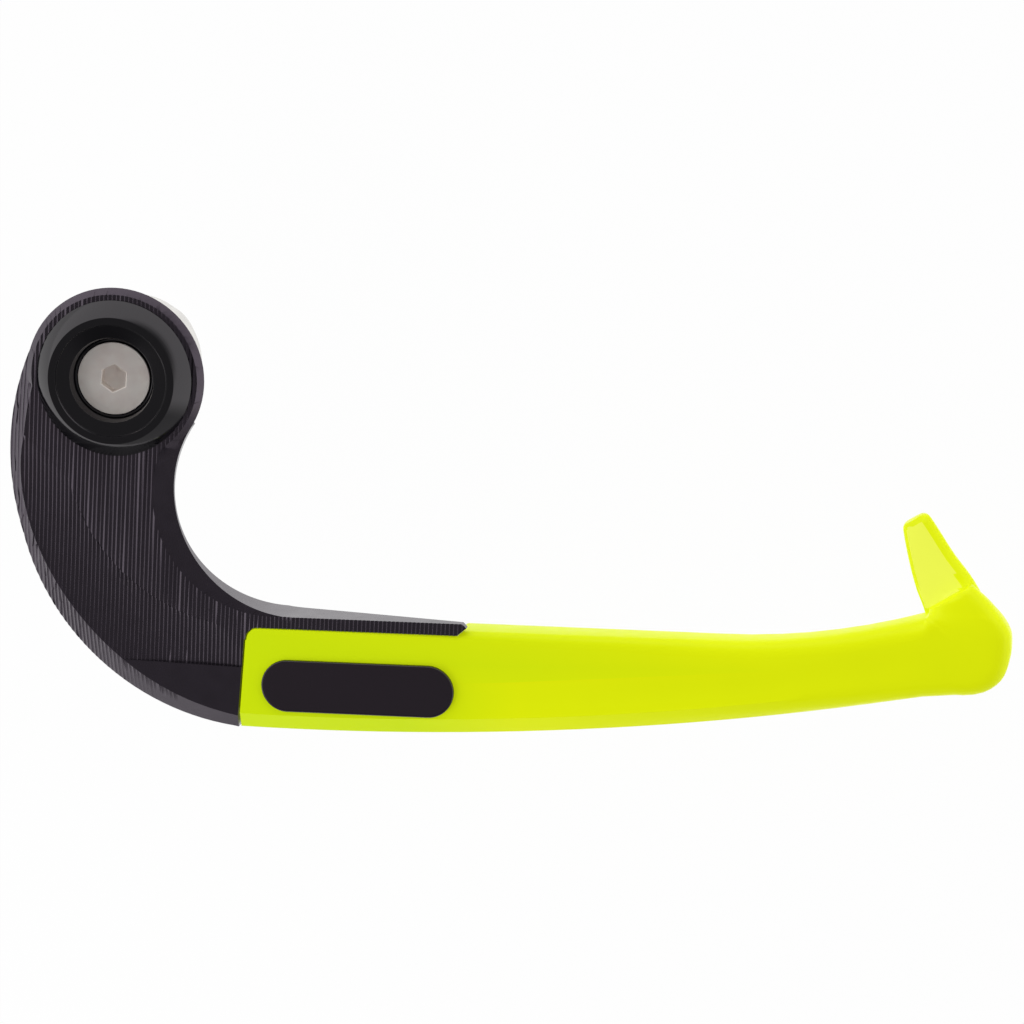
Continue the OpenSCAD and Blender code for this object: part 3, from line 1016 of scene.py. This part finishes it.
@dataclass
class Studio:
    """Camera, lamps, floor and world.

    Args:
        camera_at: place of the camera.
        looks_at: the point that it and the lamps are turned to.
        lens: its focal length.
        sensor: width of its sensor.
        clip: nearest and furthest distance that it shows.
        floor_at: centre of the floor, just under the lowest piece.
        floor_side: side of the floor.
        floor_tone: grey level of the floor.
        floor_roughness: its roughness.
        floor_glow: how much of the white shows over the floor's own shade.
        mirror_gain: how much brighter the floor is in a reflection.
        overhead: level of the light from above.
        horizon: level of the light from the sides.
        shade_axis: middle of the dark overhead.
        shade_band: steepness at which the dark begins, and at which it is full.
        viewer_side: level of the light from the viewer's side, against the rest.
        viewer_band: Y of the direction at which that side is full, and at which it ends.
        boxes: the lamps, which no reflection shows.
    """

    camera_at: tuple[float, float, float] = (188.30, 162.14, 783.14)
    looks_at: tuple[float, float, float] = (64.99, -20.68, 14.13)
    lens: float = 173.5
    sensor: float = 36.0
    clip: tuple[float, float] = (10.0, 20000.0)
    floor_at: tuple[float, float, float] = (65.0, -20.0, -17.45)
    floor_side: float = 6000.0
    floor_tone: float = 0.95
    floor_roughness: float = 0.9
    floor_glow: float = 0.975
    mirror_gain: float = 0.25
    overhead: float = 0.25
    horizon: float = 1.6
    shade_axis: tuple[float, float, float] = (0.08, 0.05, 1.0)
    shade_band: tuple[float, float] = (0.42, 0.56)
    viewer_side: float = 0.35
    viewer_band: tuple[float, float] = (-0.75, -0.45)
    boxes: tuple[SoftBox, ...] = (
        SoftBox("key", (-170.0, -190.0, 150.0), 190.0, 0.3),
        SoftBox("fill", (560.0, 300.0, 420.0), 420.0, 0.5),
    )

    def build(self) -> None:
        """Sets up the whole stage."""
        self._camera()
        self._floor()
        self._world()
        for box in self.boxes:
            self._lamp(box)

    def _camera(self) -> None:
        """Places the camera at the photograph's viewing angle, with the frame's +Y up."""
        data = bpy.data.cameras.new("view")
        data.sensor_fit = "HORIZONTAL"
        data.sensor_width = self.sensor
        data.lens = self.lens
        data.clip_start, data.clip_end = (distance * MM for distance in self.clip)
        camera = bpy.data.objects.new("view", data)
        bpy.context.scene.collection.objects.link(camera)
        back = (Vector(self.camera_at) - Vector(self.looks_at)).normalized()
        right = Vector((0.0, 1.0, 0.0)).cross(back).normalized()
        up = back.cross(right)
        turn = Matrix((right, up, back)).transposed().to_4x4()
        camera.matrix_world = Matrix.Translation(Vector(self.camera_at) * MM) @ turn
        bpy.context.scene.camera = camera

    def _floor(self) -> None:
        """Lays a plain floor under the object."""
        bm = bmesh.new()
        bmesh.ops.create_grid(bm, x_segments=1, y_segments=1, size=self.floor_side / 2 * MM)
        bmesh.ops.translate(bm, verts=bm.verts, vec=Vector(self.floor_at) * MM)
        mesh = bpy.data.meshes.new("floor")
        bm.to_mesh(mesh)
        bm.free()
        mesh.materials.append(self._floor_white())
        floor = bpy.data.objects.new("floor", mesh)
        bpy.context.scene.collection.objects.link(floor)

    def _floor_white(self) -> bpy.types.Material:
        """Makes the floor's finish, which shows white to the camera and still takes the shadow.

        Returns:
            The material.
        """
        material = bpy.data.materials.new("floor_white")
        material.use_nodes = True
        tree = material.node_tree
        shader = tree.nodes["Principled BSDF"]
        shader.inputs["Base Color"].default_value = (*[self.floor_tone] * 3, 1.0)
        shader.inputs["Roughness"].default_value = self.floor_roughness
        white = tree.nodes.new("ShaderNodeEmission")
        path = tree.nodes.new("ShaderNodeLightPath")
        mirrored = path.outputs["Is Glossy Ray"]
        direct = self._maths(tree, "ADD", path.outputs["Is Camera Ray"], mirrored)
        seen = self._maths(tree, "ADD", direct, path.outputs["Is Transmission Ray"])
        level = tree.nodes.new("ShaderNodeMath")
        level.operation = "MULTIPLY_ADD"
        level.inputs[1].default_value = self.mirror_gain
        level.inputs[2].default_value = 1.0
        tree.links.new(mirrored, level.inputs[0])
        tree.links.new(level.outputs[0], white.inputs["Strength"])
        share = tree.nodes.new("ShaderNodeMath")
        share.operation = "MULTIPLY"
        share.inputs[1].default_value = self.floor_glow
        tree.links.new(seen, share.inputs[0])
        mix = tree.nodes.new("ShaderNodeMixShader")
        tree.links.new(share.outputs[0], mix.inputs["Fac"])
        tree.links.new(shader.outputs["BSDF"], mix.inputs[1])
        tree.links.new(white.outputs["Emission"], mix.inputs[2])
        tree.links.new(mix.outputs["Shader"], tree.nodes["Material Output"].inputs["Surface"])
        return material

    def _maths(self, tree: Tree, operation: str, first: Socket, second: Socket) -> Socket:
        """Adds or multiplies two values; a sum stays at 1 or less.

        Args:
            tree: the node tree.
            operation: what the node does with them.
            first: the first value.
            second: the second value.

        Returns:
            The result's socket.
        """
        both = tree.nodes.new("ShaderNodeMath")
        both.operation = operation
        both.use_clamp = operation == "ADD"
        tree.links.new(first, both.inputs[0])
        tree.links.new(second, both.inputs[1])
        return both.outputs[0]

    def _step(
        self, tree: Tree, source: Socket, band: Sequence[float], levels: Sequence[float]
    ) -> Socket:
        """Runs smoothly from one level to another while a value crosses a band.

        Args:
            tree: the node tree.
            source: the value.
            band: where the step begins and ends.
            levels: the levels before and after it.

        Returns:
            The result's socket.
        """
        ramp = tree.nodes.new("ShaderNodeMapRange")
        ramp.interpolation_type = "SMOOTHSTEP"
        ramp.inputs["From Min"].default_value, ramp.inputs["From Max"].default_value = band
        ramp.inputs["To Min"].default_value, ramp.inputs["To Max"].default_value = levels
        tree.links.new(source, ramp.inputs["Value"])
        return ramp.outputs["Result"]

    def _world(self) -> None:
        """Gives a light that is white round the horizon, but dark overhead and by the viewer."""
        world = bpy.data.worlds.new("studio")
        world.use_nodes = True
        tree = world.node_tree
        background = tree.nodes["Background"]
        background.inputs["Strength"].default_value = 1.0
        direction = tree.nodes.new("ShaderNodeTexCoord").outputs["Generated"]
        lean = tree.nodes.new("ShaderNodeVectorMath")
        lean.operation = "DOT_PRODUCT"
        lean.inputs[1].default_value = self.shade_axis
        tree.links.new(direction, lean.inputs[0])
        split = tree.nodes.new("ShaderNodeSeparateXYZ")
        tree.links.new(direction, split.inputs["Vector"])
        levels = (self.horizon, self.overhead)
        above = self._step(tree, lean.outputs["Value"], self.shade_band, levels)
        levels = (self.viewer_side, 1.0)
        near = self._step(tree, split.outputs["Y"], self.viewer_band, levels)
        both = self._maths(tree, "MULTIPLY", above, near)
        tree.links.new(both, background.inputs["Color"])
        bpy.context.scene.world = world

    def _lamp(self, box: SoftBox) -> None:
        """Hangs one soft box that faces the object, out of sight of any reflection.

        Args:
            box: the lamp's name, place, side and power.
        """
        data = bpy.data.lights.new(box.name, "AREA")
        data.shape = "SQUARE"
        data.size = box.side * MM
        data.energy = box.watts
        lamp = bpy.data.objects.new(box.name, data)
        bpy.context.scene.collection.objects.link(lamp)
        place = Vector(box.at)
        turn = (place - Vector(self.looks_at)).to_track_quat("Z", "Y").to_matrix().to_4x4()
        lamp.matrix_world = Matrix.Translation(place * MM) @ turn
        lamp.visible_glossy = False


WASHER_PROFILE = [
    (3.25, 13.6), (8.6, 13.6), (8.6, 17.5), (12.9, 17.5), (12.9, 17.56), (10.45, 19.9),
    (9.3, 19.9), (9.15, 19.65), (7.0, 19.22), (6.45, 17.4), (6.15, 17.3), (3.25, 14.4),
]
SPACER_PROFILE = [
    (3.25, 10.0), (10.5, 10.0), (11.0, 9.5), (11.0, 1.2), (9.8, 0.0), (6.8, 0.0),
    (5.2, -6.0), (3.25, -6.0),
]
NUT_PROFILE = [
    (3.05, -7.9), (5.867, -7.9), (6.8, -11.4), (6.8, -11.9), (6.15, -14.4), (3.05, -14.4),
]


def main() -> None:
    """Builds the stage and every piece in order, and reports each one."""
    logging.basicConfig(level=logging.INFO, format="%(name)s: %(message)s")
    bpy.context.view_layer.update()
    bpy.context.scene.view_settings.view_transform = "Standard"
    Studio().build()
    shelf = FinishShelf()
    pieces = [
        MilledBracket(),
        TurnedPiece("dish_washer", Slot.GLOSS, WASHER_PROFILE, steps=192),
        ClampScrew(),
        TurnedPiece("bar_end_spacer", Slot.ALUMINIUM, SPACER_PROFILE),
        GripSleeve(),
        TurnedPiece("cone_nut", Slot.STEEL, NUT_PROFILE),
        MouldedBlade(),
        DomedBadge(),
        CopiedPiece("blade_screw_1", Slot.STEEL),
        CopiedPiece("blade_screw_2", Slot.STEEL),
        CopiedPiece("blade_insert_1", Slot.BRASS),
        CopiedPiece("blade_insert_2", Slot.BRASS),
    ]
    for piece in pieces:
        piece.build(shelf)


if __name__ == "__main__":
    main()
